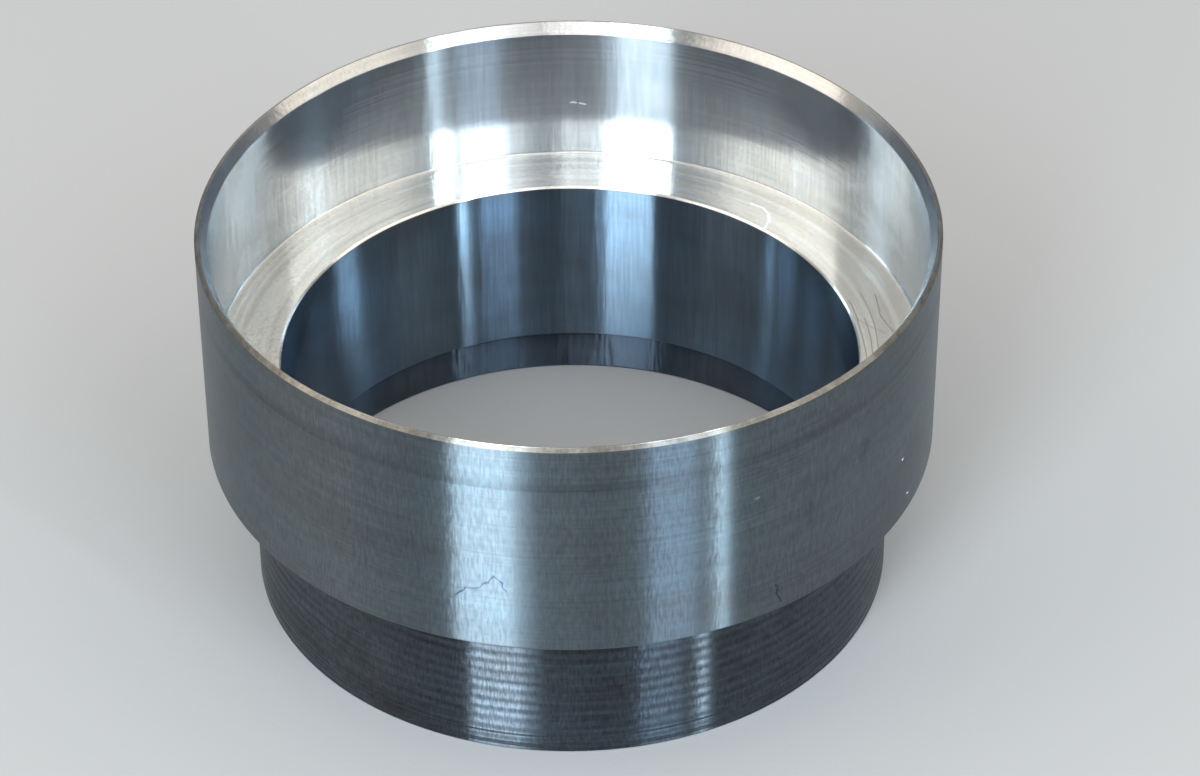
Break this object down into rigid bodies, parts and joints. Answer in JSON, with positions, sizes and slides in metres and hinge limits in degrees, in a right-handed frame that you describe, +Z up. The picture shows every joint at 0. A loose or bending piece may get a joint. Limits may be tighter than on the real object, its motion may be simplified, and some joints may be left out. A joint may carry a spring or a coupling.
{
  "type": "stepped turned ring",
  "caption": "Aluminium ring turned from solid bar, with a deep thin-walled counterbore above a narrower ridged skirt and a bore right through, to seat and carry a round part.",
  "frame": {"origin": "centre of the bottom face, on the turning axis", "axes": "+Z up along the turning axis, from the skirt towards the rim; X and Y are alike because the part is round"},
  "size_m": [0.1, 0.1, 0.056],
  "materials": {
    "turned_aluminium": "bright fine turned, with a coarser turned skirt"
  },
  "bodies": {
    "root": {"housing_ring": "turned_aluminium"}
  },
  "joints": []
}
